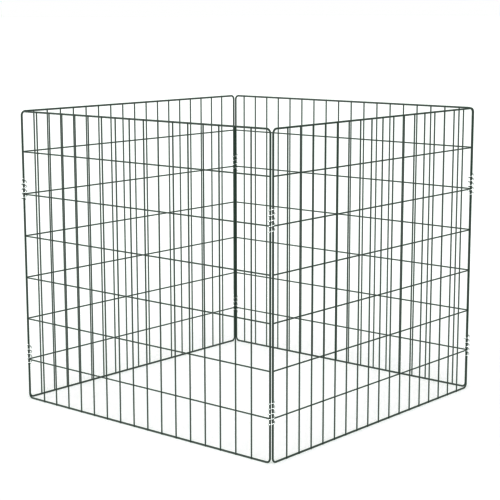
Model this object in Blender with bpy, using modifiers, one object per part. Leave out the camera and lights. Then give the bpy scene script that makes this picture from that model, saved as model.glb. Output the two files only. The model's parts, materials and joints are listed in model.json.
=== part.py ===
# Wire compost bin: four welded wire panels that stand in a square, hinged at the corners by spiral clips.
# Metres, +Z up. The origin is on the ground at the middle of the bin, and the front panel faces -Y.

from math import asin, cos, hypot, pi, radians, sin

import bmesh
import bpy
from mathutils import Matrix

# Panel: a frame of thick wire, upright bars on its outer side and level rails on its inner side.
PANEL_WIDTH = 0.914
PANEL_HEIGHT = 0.838
FRAME_WIRE = 0.0040
CORNER_RADIUS = 0.012
BEND_STEPS = 4

GRID_WIRE = 0.0028
WELD_PRESS = 0.0014
BAR_LAP = 0.0015
RAIL_COUNT = 6
END_BAY = 0.1143
WELD_GAP = 0.0003

# Upright bars of each panel, seen from outside the bin: how many, and how far the first and the last
# one stand from the side wires.
BARS = {
    "front": (16, 0.066, 0.059),
    "right": (17, 0.053, 0.056),
    "back": (18, 0.047, 0.035),
    "left": (17, 0.058, 0.046),
}

# Hinge: each corner has its axis midway between two side wires. Two panels that lie flat against each
# other keep their rails this far apart, and two that open flat keep their side wires this far apart.
FOLD_GAP = 0.0003
HINGE_GAP = 0.0004

# Spiral clip: a short open coil, in which two side wires lie loosely. It starts below its rail.
CLIP_WIRE = 0.0024
CLIP_PLAY = 0.0007
CLIP_RAIL_GAP = 0.0002
CLIP_TURNS = 4.6
CLIP_TURNS_BELOW = 1.2
CLIP_STEPS = 12
CLIP_RAILS = {"lower": 0, "upper": RAIL_COUNT - 2}

# A wire is drawn with eight sides, and its flats lie on the round wire.
WIRE_SIDES = 8
FLATS = cos(pi / WIRE_SIDES)
MERGE_DISTANCE = 0.00001
SHARP_ANGLE = radians(60)

# Colour, roughness and metallic value of the two kinds of wire.
GREEN_COAT = ((0.022, 0.045, 0.035), 0.38, 0.0)
ZINC_PLATE = ((0.62, 0.64, 0.63), 0.32, 1.0)

FRAME_RADIUS = FRAME_WIRE / 2
GRID_RADIUS = GRID_WIRE / 2
CLIP_WIRE_RADIUS = CLIP_WIRE / 2

# The side wires stand this far in from the hinge axes, so that a corner can open flat.
SIDE_SET_IN = FRAME_RADIUS + HINGE_GAP / 2
CORNER_SPACING = PANEL_WIDTH - FRAME_WIRE + 2 * SIDE_SET_IN

# The bars are pressed into the frame by their welds. A rail lies behind them, with a small gap.
BAR_SET_OUT = FRAME_RADIUS + GRID_RADIUS - WELD_PRESS
RAIL_SET_IN = GRID_WIRE + WELD_GAP - BAR_SET_OUT
RAIL_END = SIDE_SET_IN + FRAME_RADIUS + WELD_GAP

# The hinge axes lie inside the frames, so that the rails of two folded panels lie side by side.
RAIL_TO_AXIS = GRID_RADIUS + FOLD_GAP / 2
HINGE_SET_OUT = RAIL_SET_IN + RAIL_TO_AXIS

BOTTOM = FRAME_RADIUS
TOP = PANEL_HEIGHT - FRAME_RADIUS
RAIL_PITCH = (TOP - BOTTOM - 2 * END_BAY) / (RAIL_COUNT - 1)

# The coil runs round both side wires, and its straight steps stay clear of them as well.
SIDE_WIRE_REACH = hypot(HINGE_SET_OUT, SIDE_SET_IN) + FRAME_RADIUS / FLATS
CLIP_RADIUS = (SIDE_WIRE_REACH + CLIP_PLAY + CLIP_WIRE_RADIUS / FLATS) / cos(pi / CLIP_STEPS)

# At its rail's height the coil is square to the rail, on the outer side. This part of a turn lies
# between there and the rail itself, and in it the coil drops far enough to pass under the rail. The
# next panel's rails pass above it in the same way as they swing.
RAIL_SHARE = 1 / 4 - asin(RAIL_TO_AXIS / CLIP_RADIUS) / (2 * pi)
CLIP_PITCH = (GRID_RADIUS + CLIP_WIRE_RADIUS / FLATS + CLIP_RAIL_GAP) / RAIL_SHARE

PANELS = ("front", "right", "back", "left")
CORNERS = ("front_right", "back_right", "back_left", "front_left")


def make_collection(name):
    collection = bpy.data.collections.new(name)
    bpy.context.scene.collection.children.link(collection)
    return collection


def rail_height(index):
    return BOTTOM + END_BAY + index * RAIL_PITCH


def wire(name, points, diameter, cyclic=False):
    """A wire along the points, as a curve with eight flats, two of them level."""
    curve = bpy.data.curves.new(name, "CURVE")
    curve.dimensions = "3D"
    curve.twist_mode = "MINIMUM"
    curve.bevel_depth = diameter / 2 / FLATS
    curve.bevel_resolution = (WIRE_SIDES - 4) // 2
    curve.use_fill_caps = True
    spline = curve.splines.new("POLY")
    spline.points.add(len(points) - 1)
    for point, centre in zip(spline.points, points):
        point.co = (*centre, 1)
        point.tilt = pi / WIRE_SIDES
    spline.use_cyclic_u = cyclic
    return bpy.data.objects.new(name, curve)


def as_mesh(source, collection):
    """The curve object's shape as a closed mesh object of the same name, which takes its place."""
    collection.objects.link(source)
    evaluated = source.evaluated_get(bpy.context.evaluated_depsgraph_get())
    mesh = bpy.data.meshes.new_from_object(evaluated)
    shape = bmesh.new()
    shape.from_mesh(mesh)
    bmesh.ops.remove_doubles(shape, verts=shape.verts, dist=MERGE_DISTANCE)
    bmesh.ops.recalc_face_normals(shape, faces=shape.faces)
    shape.to_mesh(mesh)
    shape.free()
    name = source.name
    matrix = source.matrix_world.copy()
    bpy.data.objects.remove(source)
    result = bpy.data.objects.new(name, mesh)
    result.matrix_world = matrix
    return result


def place(piece, collection, panel, look):
    """Links a piece under its panel, with a material of its own."""
    colour, roughness, metallic = look
    material = bpy.data.materials.new(piece.name)
    material.use_nodes = True
    shader = material.node_tree.nodes["Principled BSDF"]
    shader.inputs["Base Color"].default_value = (*colour, 1)
    shader.inputs["Roughness"].default_value = roughness
    shader.inputs["Metallic"].default_value = metallic
    piece.data.materials.clear()
    piece.data.materials.append(material)
    piece.parent = panel
    collection.objects.link(piece)


def frame_outline():
    """Centre line of the frame wire: a rectangle with bent corners, just outside the hinge axes."""
    left = SIDE_SET_IN + CORNER_RADIUS
    right = CORNER_SPACING - SIDE_SET_IN - CORNER_RADIUS
    low = BOTTOM + CORNER_RADIUS
    high = TOP - CORNER_RADIUS
    centres = ((right, high, 0), (left, high, 90), (left, low, 180), (right, low, 270))
    points = []
    for x, z, start in centres:
        for step in range(BEND_STEPS + 1):
            angle = radians(start + 90 * step / BEND_STEPS)
            bend_x = x + CORNER_RADIUS * cos(angle)
            bend_z = z + CORNER_RADIUS * sin(angle)
            points.append((bend_x, -HINGE_SET_OUT, bend_z))
    return points


def make_bars(side, guides, panel):
    """One upright bar, repeated across the panel, to be welded on by the frame's Boolean."""
    count, first, last = BARS[side]
    length = TOP - BOTTOM + 2 * BAR_LAP
    pitch = (CORNER_SPACING - 2 * SIDE_SET_IN - first - last) / (count - 1)
    mesh = bpy.data.meshes.new(side + "_bar")
    shape = bmesh.new()
    bmesh.ops.create_cone(
        shape, cap_ends=True, segments=WIRE_SIDES, depth=length,
        radius1=GRID_RADIUS / FLATS, radius2=GRID_RADIUS / FLATS,
    )
    bmesh.ops.rotate(shape, verts=shape.verts, matrix=Matrix.Rotation(pi / WIRE_SIDES, 3, "Z"))
    shape.to_mesh(mesh)
    shape.free()
    bars = bpy.data.objects.new(side + "_bars_guide", mesh)
    bars.location = (SIDE_SET_IN + first, -HINGE_SET_OUT - BAR_SET_OUT, (TOP + BOTTOM) / 2)
    bars.parent = panel
    bars.display_type = "WIRE"
    bars.hide_render = True
    guides.objects.link(bars)
    array = bars.modifiers.new("Across the panel", "ARRAY")
    array.count = count
    array.use_relative_offset = False
    array.use_constant_offset = True
    array.constant_offset_displace = (pitch, 0, 0)
    return bars


def make_frame(side, parts, guides, panel):
    """The bent frame wire, with the upright bars welded to its top and bottom."""
    outline = wire(side + "_frame", frame_outline(), FRAME_WIRE, cyclic=True)
    frame = as_mesh(outline, guides)
    place(frame, parts, panel, GREEN_COAT)
    frame.data.shade_smooth()
    frame.data.set_sharp_from_angle(angle=SHARP_ANGLE)
    weld = frame.modifiers.new("Weld the bars on", "BOOLEAN")
    weld.operation = "UNION"
    weld.solver = "EXACT"
    weld.object = make_bars(side, guides, panel)


def make_rail(side, index, parts, panel):
    """A level wire behind the bars, from side wire to side wire."""
    height = rail_height(index)
    ends = ((RAIL_END, -RAIL_TO_AXIS, height), (CORNER_SPACING - RAIL_END, -RAIL_TO_AXIS, height))
    place(wire("%s_rail_%d" % (side, index + 1), ends, GRID_WIRE), parts, panel, GREEN_COAT)


def make_clip(corner, level, parts, panel):
    """A coil round the corner's two side wires, which hangs at one of the rails."""
    steps = round(CLIP_TURNS * CLIP_STEPS)
    points = []
    for step in range(steps + 1):
        turn = step / CLIP_STEPS - CLIP_TURNS_BELOW
        angle = 2 * pi * turn - pi / 2
        height = rail_height(CLIP_RAILS[level]) + CLIP_PITCH * turn
        points.append((CORNER_SPACING + CLIP_RADIUS * cos(angle), CLIP_RADIUS * sin(angle), height))
    place(wire("%s_clip_%s" % (corner, level), points, CLIP_WIRE), parts, panel, ZINC_PLATE)


def make_hinge(side, parts, panel_before):
    """An empty on the hinge axis at the panel's left-hand corner, which carries the whole panel."""
    hinge = bpy.data.objects.new(side + "_panel", None)
    parts.objects.link(hinge)
    if panel_before is None:
        hinge.location = (-CORNER_SPACING / 2, -CORNER_SPACING / 2, 0)
    else:
        hinge.parent = panel_before
        hinge.location = (CORNER_SPACING, 0, 0)
        hinge.rotation_euler = (0, 0, pi / 2)
    return hinge


for old in list(bpy.data.objects):
    bpy.data.objects.remove(old)

parts = make_collection("Wire compost bin")
guides = make_collection("Guides")

panel = None
for side, corner in zip(PANELS, CORNERS):
    panel = make_hinge(side, parts, panel)
    bpy.context.view_layer.update()
    make_frame(side, parts, guides, panel)
    for rail_index in range(RAIL_COUNT):
        make_rail(side, rail_index, parts, panel)
    for level in CLIP_RAILS:
        make_clip(corner, level, parts, panel)
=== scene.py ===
# Wire compost bin: its coated wires, welds and spiral clips as they look, in place of the plain solids.
# Metres, +Z up. The bin stands on the floor at the origin, and its front panel faces -Y.

import json
from math import cos, pi, radians, sin

import bmesh
import bpy
from mathutils import Matrix, Quaternion, Vector


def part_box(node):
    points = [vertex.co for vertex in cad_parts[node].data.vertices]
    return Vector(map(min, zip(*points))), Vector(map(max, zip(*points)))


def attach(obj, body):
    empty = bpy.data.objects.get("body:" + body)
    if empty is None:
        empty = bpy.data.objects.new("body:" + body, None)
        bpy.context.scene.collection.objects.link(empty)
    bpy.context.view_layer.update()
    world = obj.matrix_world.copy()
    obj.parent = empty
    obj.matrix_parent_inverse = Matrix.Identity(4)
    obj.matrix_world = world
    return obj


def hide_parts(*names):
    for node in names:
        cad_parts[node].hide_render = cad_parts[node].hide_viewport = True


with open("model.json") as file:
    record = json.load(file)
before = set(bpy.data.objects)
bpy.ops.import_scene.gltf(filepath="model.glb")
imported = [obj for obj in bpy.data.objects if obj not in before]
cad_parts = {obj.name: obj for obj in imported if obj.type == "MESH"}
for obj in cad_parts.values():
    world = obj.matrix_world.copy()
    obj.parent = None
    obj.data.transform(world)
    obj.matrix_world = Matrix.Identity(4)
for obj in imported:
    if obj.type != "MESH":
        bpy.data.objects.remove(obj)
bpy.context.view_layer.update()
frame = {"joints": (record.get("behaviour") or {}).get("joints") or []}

# The camera: a long lens a little above the bin, which looks almost straight at its near corner.
# Its place and direction were fitted to the corners of the four panels in the photograph.
CAMERA_PLACE = Vector((2.5296, -2.9693, 1.1156))
CAMERA_AZIMUTH = radians(-49.5531)
CAMERA_ELEVATION = radians(9.9880)
CAMERA_ROLL = radians(-0.0825)
FOCAL_PIXELS = 1361.58
IMAGE_PIXELS = 500
SENSOR_WIDTH = 36


def new_object(name, data):
    """An object of the scene with this camera, light or mesh."""
    made = bpy.data.objects.new(name, data)
    bpy.context.scene.collection.objects.link(made)
    return made


lens = bpy.data.cameras.new("view_camera")
lens.sensor_width = SENSOR_WIDTH
lens.lens = FOCAL_PIXELS * SENSOR_WIDTH / IMAGE_PIXELS
camera = new_object("view_camera", lens)
camera.location = CAMERA_PLACE
towards_camera = Vector((
    cos(CAMERA_ELEVATION) * cos(CAMERA_AZIMUTH),
    cos(CAMERA_ELEVATION) * sin(CAMERA_AZIMUTH),
    sin(CAMERA_ELEVATION),
))
camera.rotation_mode = "QUATERNION"
camera.rotation_quaternion = towards_camera.to_track_quat("Z", "Y") @ Quaternion((0, 0, 1), CAMERA_ROLL)
bpy.context.scene.camera = camera

# The floor: one plain sheet that glows like a light table, so that it stays an even white out to the
# horizon, and the wires cast almost no shadow on it.
FLOOR_RADIUS = 200.0
FLOOR_CORNERS = 96
FLOOR_GREY = (0.35, 0.35, 0.35, 1)
FLOOR_GLOW = 0.475
WHITE = (1, 1, 1, 1)

floor_shape = bmesh.new()
bmesh.ops.create_circle(floor_shape, cap_ends=True, segments=FLOOR_CORNERS, radius=FLOOR_RADIUS)
floor_mesh = bpy.data.meshes.new("floor")
floor_shape.to_mesh(floor_mesh)
floor_shape.free()
floor = new_object("floor", floor_mesh)
floor_finish = bpy.data.materials.new("floor_white")
floor_finish.use_nodes = True
floor_shader = floor_finish.node_tree.nodes["Principled BSDF"]
floor_shader.inputs["Base Color"].default_value = FLOOR_GREY
floor_shader.inputs["Roughness"].default_value = 1.0
floor_shader.inputs["Specular IOR Level"].default_value = 0.0
floor_shader.inputs["Emission Color"].default_value = WHITE
floor_shader.inputs["Emission Strength"].default_value = FLOOR_GLOW
floor_mesh.materials.append(floor_finish)

# The light: a pure white surround and three soft lamps. The low ones at the sides draw a sheen along the
# coated wires, and the broad one in front brightens the clips. Each has the direction that it shines
# from, its strength, and its spread in degrees.
SOFT_LAMPS = {
    "soft_lamp_left": ((-0.75, -0.75, 0.22), 2.0, 20),
    "soft_lamp_right": ((0.95, 0.10, 0.22), 1.1, 20),
    "soft_lamp_front": ((0.53, -0.62, 0.57), 2.5, 60),
}

world = bpy.data.worlds.new("studio")
world.use_nodes = True
surround = world.node_tree.nodes["Background"]
surround.inputs["Color"].default_value = WHITE
bpy.context.scene.world = world
for name, (direction, strength, spread) in SOFT_LAMPS.items():
    lamp = bpy.data.lights.new(name, "SUN")
    lamp.energy = strength
    lamp.angle = radians(spread)
    holder = new_object(name, lamp)
    holder.rotation_euler = Vector(direction).to_track_quat("Z", "Y").to_euler()

# The picture's tone: middle greys are drawn darker and a little greener, as in a catalogue photograph,
# so that wires thinner than a pixel keep their weight and their colour against the white. Each pair has
# a level of light and the level that is drawn for it.
CONTRAST = ((0.10, 0.039), (0.50, 0.256))
RED_TONE = ((0.25, 0.239), (0.60, 0.585), (0.90, 0.879))
BLUE_TONE = ((0.25, 0.243), (0.60, 0.592), (0.90, 0.887))

view = bpy.context.scene.view_settings
view.view_transform = "Standard"
view.use_curve_mapping = True
red_curve, _, blue_curve, shared_curve = view.curve_mapping.curves
for curve, stops in ((shared_curve, CONTRAST), (red_curve, RED_TONE), (blue_curve, BLUE_TONE)):
    for level, drawn in stops:
        curve.points.new(level, drawn)
view.curve_mapping.update()

# The frame wires: each panel's outline is one thick steel wire, bent at its four corners, butt-welded
# at the foot and coated after the welding. The coat is dark green plastic, satin and a little uneven
# like orange peel. It is darker and glossier where it pooled round a weld.
FRAME_WIRE = 0.0040
CORNER_BEND = 0.012
BEND_POINTS = 8
FRAME_WIRE_SIDES = 20

# The butt weld's bead: how far from the panel's middle, how long, and how much thicker than the wire.
SEAM_PLACE = 0.021
SEAM_LENGTH = 0.0045
SEAM_SWELL = 1.08
SEAM_SEGMENTS = 20
SEAM_RINGS = 10

# Each panel is made at the front and turned to its side, by as many quarter turns.
PANEL_TURNS = {"front": 0, "right": 1, "back": 2, "left": 3}

# The coat clouds from dark to light, and its peel is a fine bump. Both make it a little rougher.
COAT_DARK = (0.0080, 0.0265, 0.0155, 1)
COAT_LIGHT = (0.0160, 0.0455, 0.0280, 1)
COAT_POOLED = (0.0055, 0.0185, 0.0110, 1)
COAT_ROUGHNESS = 0.26
COAT_GLOSS = 0.42
CLOUDS_PER_METRE = 9.0
CLOUD_DETAIL = 3.0
CLOUD_ROUGHNESS = 0.10
PEEL_PER_METRE = 900.0
PEEL_DETAIL = 2.0
PEEL_ROUGHNESS = 0.06
PEEL_STRENGTH = 0.5
PEEL_DEPTH = 0.00006
POOLED_SMOOTHNESS = 0.16

# A Mix node's colour sockets share their names with its others, so they go by number.
MIX_FIRST_COLOUR = 6
MIX_SECOND_COLOUR = 7
MIX_COLOUR_OUTPUT = 2

# Where the middle of the front frame's wire runs, from its solid.
front_low, front_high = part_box("front_frame")
frame_plane = front_high.y - FRAME_WIRE / 2
frame_bottom = front_low.z + FRAME_WIRE / 2
frame_height = front_high.z - front_low.z - FRAME_WIRE
side_wire = front_high.x - FRAME_WIRE / 2
frame_width = 2 * side_wire


class Socket:
    """A node's output. Arithmetic on it adds Math nodes to the same tree."""

    def __init__(self, tree, socket):
        self.tree = tree
        self.socket = socket

    def math(self, operation, first, second):
        return add_node(self.tree, "ShaderNodeMath", {"operation": operation}, {0: first, 1: second})

    def __add__(self, other):
        return self.math("ADD", self, other)

    def __radd__(self, other):
        return self.math("ADD", other, self)

    def __sub__(self, other):
        return self.math("SUBTRACT", self, other)

    def __rsub__(self, other):
        return self.math("SUBTRACT", other, self)

    def __mul__(self, other):
        return self.math("MULTIPLY", self, other)

    def __rmul__(self, other):
        return self.math("MULTIPLY", other, self)


def add_node(tree, kind, settings=None, sockets=None, output=0):
    """Adds a node: its settings first, then each socket's value or link. Returns one of its outputs."""
    node = tree.nodes.new(kind)
    for name, value in (settings or {}).items():
        setattr(node, name, value)
    for name, value in (sockets or {}).items():
        if isinstance(value, Socket):
            tree.links.new(value.socket, node.inputs[name])
        else:
            node.inputs[name].default_value = value
    return Socket(tree, node.outputs[output])


def vector(tree, x=0.0, y=0.0, z=0.0):
    return add_node(tree, "ShaderNodeCombineXYZ", {}, {"X": x, "Y": y, "Z": z})


def vector_math(tree, operation, first, second):
    return add_node(tree, "ShaderNodeVectorMath", {"operation": operation}, {0: first, 1: second})


def noise(tree, place, scale, detail):
    return add_node(tree, "ShaderNodeTexNoise", {}, {"Vector": place, "Scale": scale, "Detail": detail})


def mixed_colour(tree, share, first, second):
    return add_node(
        tree, "ShaderNodeMix", {"data_type": "RGBA"},
        {"Factor": share, MIX_FIRST_COLOUR: first, MIX_SECOND_COLOUR: second}, output=MIX_COLOUR_OUTPUT,
    )


def bumped(tree, height, strength, depth):
    return add_node(
        tree, "ShaderNodeBump", {}, {"Height": height, "Strength": strength, "Distance": depth},
    )


def new_finish(name):
    """A material with its node tree and its plain Principled shader."""
    material = bpy.data.materials.new(name)
    material.use_nodes = True
    tree = material.node_tree
    return material, tree, tree.nodes["Principled BSDF"]


def coated_wire_finish(name):
    """Dark green plastic with a fine peel, darker and smoother where it pooled round a weld."""
    material, tree, shader = new_finish(name)
    place = add_node(tree, "ShaderNodeTexCoord", output="Object")
    pooled = add_node(tree, "ShaderNodeAttribute", {"attribute_name": "pooled"}, output="Fac")
    cloud = noise(tree, place, CLOUDS_PER_METRE, CLOUD_DETAIL)
    peel = noise(tree, place, PEEL_PER_METRE, PEEL_DETAIL)
    coat = mixed_colour(tree, cloud, COAT_DARK, COAT_LIGHT)
    colour = mixed_colour(tree, pooled, coat, COAT_POOLED)
    uneven = COAT_ROUGHNESS + CLOUD_ROUGHNESS * cloud + PEEL_ROUGHNESS * peel
    roughness = uneven - POOLED_SMOOTHNESS * pooled
    tree.links.new(colour.socket, shader.inputs["Base Color"])
    tree.links.new(roughness.socket, shader.inputs["Roughness"])
    tree.links.new(bumped(tree, peel, PEEL_STRENGTH, PEEL_DEPTH).socket, shader.inputs["Normal"])
    shader.inputs["Specular IOR Level"].default_value = COAT_GLOSS
    return material


coated_wire = coated_wire_finish("green_coated_wire")


def new_shape_tree(name, inputs):
    """An empty tree of geometry nodes with these named inputs, and a Socket for each."""
    tree = bpy.data.node_groups.new(name, "GeometryNodeTree")
    tree.interface.new_socket("Geometry", in_out="OUTPUT", socket_type="NodeSocketGeometry")
    for label, kind in inputs.items():
        tree.interface.new_socket(label, in_out="INPUT", socket_type="NodeSocket" + kind)
    group = tree.nodes.new("NodeGroupInput")
    return tree, {label: Socket(tree, group.outputs[label]) for label in inputs}


def joined(tree, *shapes):
    join = tree.nodes.new("GeometryNodeJoinGeometry")
    for shape in shapes:
        tree.links.new(shape.socket, join.inputs["Geometry"])
    return Socket(tree, join.outputs["Geometry"])


def end_tree(tree, shape, material):
    """Ends a tree: its copies are made real, and the whole is shaded smooth and given its material."""
    real = add_node(tree, "GeometryNodeRealizeInstances", {}, {"Geometry": shape})
    smooth = add_node(tree, "GeometryNodeSetShadeSmooth", {}, {"Geometry": real})
    finished = add_node(tree, "GeometryNodeSetMaterial", {}, {"Geometry": smooth, "Material": material})
    out = tree.nodes.new("NodeGroupOutput")
    tree.links.new(finished.socket, out.inputs["Geometry"])


def make_piece(name, tree, values, side):
    """A plain mesh from a tree with these values, turned to its panel's side, which it rides on."""
    carrier = new_object(name + "_carrier", bpy.data.meshes.new(name + "_carrier"))
    modifier = carrier.modifiers.new("Shape", "NODES")
    modifier.node_group = tree
    for item in tree.interface.items_tree:
        if item.in_out == "INPUT":
            modifier[item.identifier] = values[item.name]
    evaluated = carrier.evaluated_get(bpy.context.evaluated_depsgraph_get())
    mesh = bpy.data.meshes.new_from_object(evaluated)
    mesh.name = name
    mesh.transform(Matrix.Rotation(PANEL_TURNS[side] * pi / 2, 4, "Z"))
    bpy.data.objects.remove(carrier)
    piece = new_object(name, mesh)
    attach(piece, side + "_panel")
    return piece


def wire_along(tree, path, wire, sides):
    """A round wire along a path."""
    section = add_node(
        tree, "GeometryNodeCurvePrimitiveCircle", {}, {"Resolution": sides, "Radius": wire * 0.5},
    )
    return add_node(
        tree, "GeometryNodeCurveToMesh", {},
        {"Curve": path, "Profile Curve": section, "Fill Caps": True},
    )


def pooled_ball(tree, radius, segments, rings):
    """A round lump, marked as a place where the coat pooled."""
    ball = add_node(
        tree, "GeometryNodeMeshUVSphere", {}, {"Segments": segments, "Rings": rings, "Radius": radius},
    )
    return add_node(
        tree, "GeometryNodeStoreNamedAttribute", {"data_type": "FLOAT"},
        {"Geometry": ball, "Name": "pooled", "Value": 1.0},
    )


frame_tree, size = new_shape_tree("Bent frame wire", {
    "Width": "Float", "Height": "Float", "Wire": "Float", "Bend": "Float", "Plane": "Float",
    "Bottom": "Float", "Seam place": "Float", "Seam length": "Float", "Seam swell": "Float",
})
outline = add_node(
    frame_tree, "GeometryNodeCurvePrimitiveQuadrilateral", {},
    {"Width": size["Width"], "Height": size["Height"]},
)
bent = add_node(
    frame_tree, "GeometryNodeFilletCurve", {"mode": "POLY"},
    {"Curve": outline, "Count": BEND_POINTS, "Radius": size["Bend"]},
)
middle = vector(frame_tree, y=size["Plane"], z=size["Bottom"] + size["Height"] * 0.5)
stood = add_node(
    frame_tree, "GeometryNodeTransform", {},
    {"Geometry": bent, "Rotation": (pi / 2, 0, 0), "Translation": middle},
)
seam_radius = size["Wire"] * 0.5 * size["Seam swell"]
seam_height = size["Bottom"] + seam_radius - size["Wire"] * 0.5
seam = add_node(
    frame_tree, "GeometryNodeTransform", {},
    {
        "Geometry": pooled_ball(frame_tree, 1.0, SEAM_SEGMENTS, SEAM_RINGS),
        "Translation": vector(frame_tree, size["Seam place"], size["Plane"], seam_height),
        "Scale": vector(frame_tree, size["Seam length"] * 0.5, seam_radius, seam_radius),
    },
)
bent_wire = wire_along(frame_tree, stood, size["Wire"], FRAME_WIRE_SIDES)
end_tree(frame_tree, joined(frame_tree, bent_wire, seam), coated_wire)

for side in PANEL_TURNS:
    piece = make_piece(side + "_frame_wire", frame_tree, {
        "Width": frame_width, "Height": frame_height, "Wire": FRAME_WIRE, "Bend": CORNER_BEND,
        "Plane": frame_plane, "Bottom": frame_bottom, "Seam place": SEAM_PLACE,
        "Seam length": SEAM_LENGTH, "Seam swell": SEAM_SWELL,
    }, side)
    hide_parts(side + "_frame")

# The upright bars: thinner wires cut to length, pressed into the frame's outer side and spot-welded to
# its top and bottom. Each panel has its own count and spacing. The coat rounds off their cut ends.
GRID_WIRE = 0.0028
GRID_WIRE_SIDES = 14
BAR_SET_OUT = 0.0020
BAR_LAP = 0.0015
END_ROUNDING = 0.34
END_RINGS = 6

# A lump of weld at a bar's end: half its length, depth and height, how far out and how far inwards from
# the frame wire's middle it sits, and how much its size varies.
FRAME_WELD = (0.0021, 0.0013, 0.0020)
FRAME_WELD_SET_OUT = 0.0013
FRAME_WELD_RISE = 0.0004
WELD_SEGMENTS = 10
WELD_RINGS = 5
WELD_SMALLEST = (0.86, 0.86, 0.86)
WELD_LARGEST = (1.14, 1.14, 1.14)
PANEL_SEED_STEP = 100

# How many bars each panel has, and how far the first and the last one stand from the side wires.
BARS = {
    "front": (16, 0.066, 0.059),
    "right": (17, 0.053, 0.056),
    "back": (18, 0.047, 0.035),
    "left": (17, 0.058, 0.046),
}


def bar_places(side):
    """How many bars a panel has, the place of the first one, and their pitch."""
    count, first, last = BARS[side]
    return count, first - side_wire, (frame_width - first - last) / (count - 1)


def spots_across(tree, count, start, pitch):
    """A row of points across the panel."""
    return add_node(
        tree, "GeometryNodeMeshLine", {},
        {"Count": count, "Start Location": start, "Offset": vector(tree, x=pitch)},
    )


def welds_at(tree, spots, weld, seed):
    """A lump of weld at each spot, each one a little larger or smaller."""
    variation = add_node(
        tree, "FunctionNodeRandomValue", {"data_type": "FLOAT_VECTOR"},
        {0: WELD_SMALLEST, 1: WELD_LARGEST, "Seed": seed},
    )
    return add_node(
        tree, "GeometryNodeInstanceOnPoints", {},
        {
            "Points": spots, "Instance": pooled_ball(tree, 1.0, WELD_SEGMENTS, WELD_RINGS),
            "Scale": vector_math(tree, "MULTIPLY", weld, variation),
        },
    )


bars_tree, size = new_shape_tree("Upright bars", {
    "Count": "Int", "Pitch": "Float", "Start": "Vector", "Length": "Float", "Wire": "Float",
    "Weld": "Vector", "Weld depth": "Float", "Weld height": "Float", "Seed": "Int",
})
feet = spots_across(bars_tree, size["Count"], size["Start"], size["Pitch"])
bar_path = add_node(
    bars_tree, "GeometryNodeCurvePrimitiveLine", {}, {"End": vector(bars_tree, z=size["Length"])},
)
rounded_ends = add_node(
    bars_tree, "GeometryNodeInstanceOnPoints", {},
    {
        "Points": bar_path, "Scale": (1, 1, END_ROUNDING),
        "Instance": pooled_ball(bars_tree, size["Wire"] * 0.5, GRID_WIRE_SIDES, END_RINGS),
    },
)
bar = joined(bars_tree, wire_along(bars_tree, bar_path, size["Wire"], GRID_WIRE_SIDES), rounded_ends)
bars = add_node(bars_tree, "GeometryNodeInstanceOnPoints", {}, {"Points": feet, "Instance": bar})
foot_weld = vector(bars_tree, y=size["Weld depth"], z=size["Weld height"])
head_weld = vector(bars_tree, y=size["Weld depth"], z=size["Length"] - size["Weld height"])
weld_rows = []
for row, shift in enumerate((foot_weld, head_weld)):
    spots = add_node(bars_tree, "GeometryNodeSetPosition", {}, {"Geometry": feet, "Offset": shift})
    weld_rows.append(welds_at(bars_tree, spots, size["Weld"], size["Seed"] + row))
end_tree(bars_tree, joined(bars_tree, bars, *weld_rows), coated_wire)

for side, turn in PANEL_TURNS.items():
    count, first_bar, pitch = bar_places(side)
    make_piece(side + "_upright_bars", bars_tree, {
        "Count": count, "Pitch": pitch,
        "Start": (first_bar, frame_plane - BAR_SET_OUT, frame_bottom - BAR_LAP),
        "Length": frame_height + 2 * BAR_LAP, "Wire": GRID_WIRE, "Weld": FRAME_WELD,
        "Weld depth": BAR_SET_OUT - FRAME_WELD_SET_OUT, "Weld height": BAR_LAP + FRAME_WELD_RISE,
        "Seed": PANEL_SEED_STEP * turn,
    }, side)

# The level rails: six thin wires across the inner side of each panel's bars, spot-welded to every bar
# and butted against the frame's side wires, with a fillet of weld at each end.
RAIL_COUNT = 6
RAIL_SET_IN = 0.0005
RAIL_SEED_STEP = 10

# Half the length, depth and height of the weld at a bar, and of the fillet at a side wire. The first is
# set out from the frame's plane, and the second is set in from the side wire's middle.
BAR_WELD = (0.0019, 0.0010, 0.0019)
BAR_WELD_SET_OUT = 0.0007
SIDE_WELD = (0.0018, 0.0017, 0.0019)
SIDE_WELD_PLACE = 0.0018

rail_tree, size = new_shape_tree("Level rail", {
    "Start": "Vector", "Length": "Float", "Wire": "Float", "Count": "Int", "Pitch": "Float",
    "First bar": "Float", "Weld": "Vector", "Weld depth": "Float", "Side weld": "Vector",
    "Side weld place": "Float", "Seed": "Int",
})
rail_end = vector_math(rail_tree, "ADD", size["Start"], vector(rail_tree, x=size["Length"]))
rail_path = add_node(
    rail_tree, "GeometryNodeCurvePrimitiveLine", {}, {"Start": size["Start"], "End": rail_end},
)
rail = wire_along(rail_tree, rail_path, size["Wire"], GRID_WIRE_SIDES)
first_spot = vector_math(
    rail_tree, "ADD", size["Start"], vector(rail_tree, size["First bar"], size["Weld depth"]),
)
bar_spots = spots_across(rail_tree, size["Count"], first_spot, size["Pitch"])
side_spot = vector_math(rail_tree, "ADD", size["Start"], vector(rail_tree, x=size["Side weld place"]))
side_spots = spots_across(rail_tree, 2, side_spot, size["Length"] - 2 * size["Side weld place"])
bar_welds = welds_at(rail_tree, bar_spots, size["Weld"], size["Seed"])
side_welds = welds_at(rail_tree, side_spots, size["Side weld"], size["Seed"] + 1)
end_tree(rail_tree, joined(rail_tree, rail, bar_welds, side_welds), coated_wire)

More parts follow.
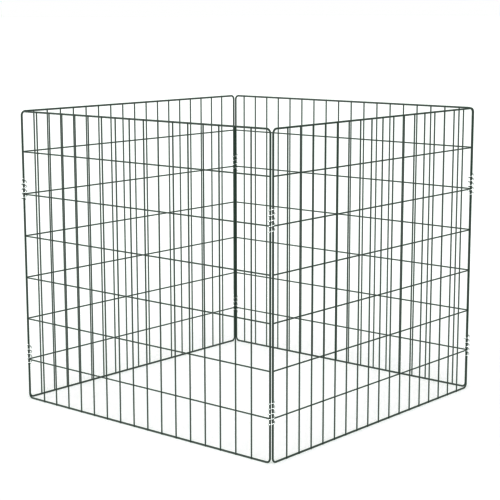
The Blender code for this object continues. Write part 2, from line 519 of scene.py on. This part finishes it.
for side, turn in PANEL_TURNS.items():
    count, first_bar, pitch = bar_places(side)
    for number in range(1, RAIL_COUNT + 1):
        node = "%s_rail_%d" % (side, number)
        low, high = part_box(node)
        piece = make_piece(node + "_wire", rail_tree, {
            "Start": (-side_wire, frame_plane + RAIL_SET_IN, (low.z + high.z) / 2),
            "Length": frame_width, "Wire": GRID_WIRE, "Count": count, "Pitch": pitch,
            "First bar": first_bar + side_wire, "Weld": BAR_WELD,
            "Weld depth": -RAIL_SET_IN - BAR_WELD_SET_OUT, "Side weld": SIDE_WELD,
            "Side weld place": SIDE_WELD_PLACE,
            "Seed": PANEL_SEED_STEP * turn + RAIL_SEED_STEP * number,
        }, side)
        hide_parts(node)

# The spiral clips: short open coils of bright zinc-plated spring wire. Each is screwed on round the side
# wires of two panels, two to a corner, and it turns loosely there as the bin folds.
CLIP_WIRE = 0.0024
CLIP_RADIUS = 0.0078
CLIP_PITCH = 0.01327
CLIP_TURNS = 4.583
CLIP_TURNS_BELOW = 1.2
CLIP_POINTS = 40
CLIP_WIRE_SIDES = 14

# The rail that each clip hangs at, and the corner whose clips ride on each panel.
CLIP_RAILS = {"lower": 1, "upper": 5}
CLIP_CORNERS = {
    "front": "front_right",
    "right": "back_right",
    "back": "back_left",
    "left": "front_left",
}

# The dull patches and the drawn lines make the zinc a little rougher. The lines lie close together
# across the wire, and they break off along it.
ZINC_BRIGHT = (0.85, 0.855, 0.855, 1)
ZINC_DULL = (0.60, 0.61, 0.61, 1)
ZINC_ROUGHNESS = 0.22
PATCHES_PER_METRE = 240.0
PATCH_DETAIL = 3.0
PATCH_ROUGHNESS = 0.14
DRAWN_LINES = (5200.0, 5200.0, 0.0)
DRAWN_BREAKS = 70.0
DRAWN_DETAIL = 1.0
DRAWN_ROUGHNESS = 0.10
DRAWN_STRENGTH = 0.6
DRAWN_DEPTH = 0.00002

# The near corner's hinge axis. A clip is made there and turned to its corner with the rest of its panel.
near_corner = Vector(frame["joints"][0]["pos_m"])


def zinc_wire_finish(name):
    """Bright zinc with dull patches, and fine lines along the wire from the die it was drawn through."""
    material, tree, shader = new_finish(name)
    place = add_node(tree, "ShaderNodeTexCoord", output="Object")
    along = add_node(tree, "ShaderNodeAttribute", {"attribute_name": "along"}, output="Fac")
    across = add_node(tree, "ShaderNodeAttribute", {"attribute_name": "across"}, output="Vector")
    patch = noise(tree, place, PATCHES_PER_METRE, PATCH_DETAIL)
    across_lines = vector_math(tree, "MULTIPLY", across, DRAWN_LINES)
    line_place = vector_math(tree, "ADD", across_lines, vector(tree, z=along * DRAWN_BREAKS))
    lines = noise(tree, line_place, 1.0, DRAWN_DETAIL)
    colour = mixed_colour(tree, patch, ZINC_BRIGHT, ZINC_DULL)
    roughness = ZINC_ROUGHNESS + PATCH_ROUGHNESS * patch + DRAWN_ROUGHNESS * lines
    tree.links.new(colour.socket, shader.inputs["Base Color"])
    tree.links.new(roughness.socket, shader.inputs["Roughness"])
    tree.links.new(bumped(tree, lines, DRAWN_STRENGTH, DRAWN_DEPTH).socket, shader.inputs["Normal"])
    shader.inputs["Metallic"].default_value = 1.0
    return material


def marked(tree, shape, name, kind, value):
    """The shape with a named attribute for its finish to read."""
    return add_node(
        tree, "GeometryNodeStoreNamedAttribute", {"data_type": kind},
        {"Geometry": shape, "Name": name, "Value": value},
    )


zinc_wire = zinc_wire_finish("zinc_plated_wire")
clip_tree, size = new_shape_tree("Spiral clip", {
    "Turns": "Float", "Points": "Int", "Radius": "Float", "Height": "Float", "Wire": "Float",
    "Place": "Vector", "Start angle": "Float",
})
coil = add_node(
    clip_tree, "GeometryNodeCurveSpiral", {},
    {
        "Resolution": size["Points"], "Rotations": size["Turns"], "Start Radius": size["Radius"],
        "End Radius": size["Radius"], "Height": size["Height"], "Reverse": True,
    },
)
seat = add_node(
    clip_tree, "GeometryNodeTransform", {},
    {"Geometry": coil, "Translation": size["Place"], "Rotation": vector(clip_tree, z=size["Start angle"])},
)
run = add_node(clip_tree, "GeometryNodeSplineParameter", output="Length")
section = add_node(
    clip_tree, "GeometryNodeCurvePrimitiveCircle", {},
    {"Resolution": CLIP_WIRE_SIDES, "Radius": size["Wire"] * 0.5},
)
section_place = add_node(clip_tree, "GeometryNodeInputPosition")
clip = add_node(
    clip_tree, "GeometryNodeCurveToMesh", {},
    {
        "Curve": marked(clip_tree, seat, "along", "FLOAT", run),
        "Profile Curve": marked(clip_tree, section, "across", "FLOAT_VECTOR", section_place),
        "Fill Caps": True,
    },
)
end_tree(clip_tree, clip, zinc_wire)

for side, corner in CLIP_CORNERS.items():
    for level, number in CLIP_RAILS.items():
        node = "%s_clip_%s" % (corner, level)
        low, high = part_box("%s_rail_%d" % (side, number))
        start_height = (low.z + high.z) / 2 - CLIP_TURNS_BELOW * CLIP_PITCH
        piece = make_piece(node + "_wire", clip_tree, {
            "Turns": CLIP_TURNS, "Points": CLIP_POINTS, "Radius": CLIP_RADIUS,
            "Height": CLIP_PITCH * CLIP_TURNS, "Wire": CLIP_WIRE,
            "Place": (near_corner.x, near_corner.y, start_height),
            "Start angle": -pi / 2 - 2 * pi * CLIP_TURNS_BELOW,
        }, side)
        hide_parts(node)
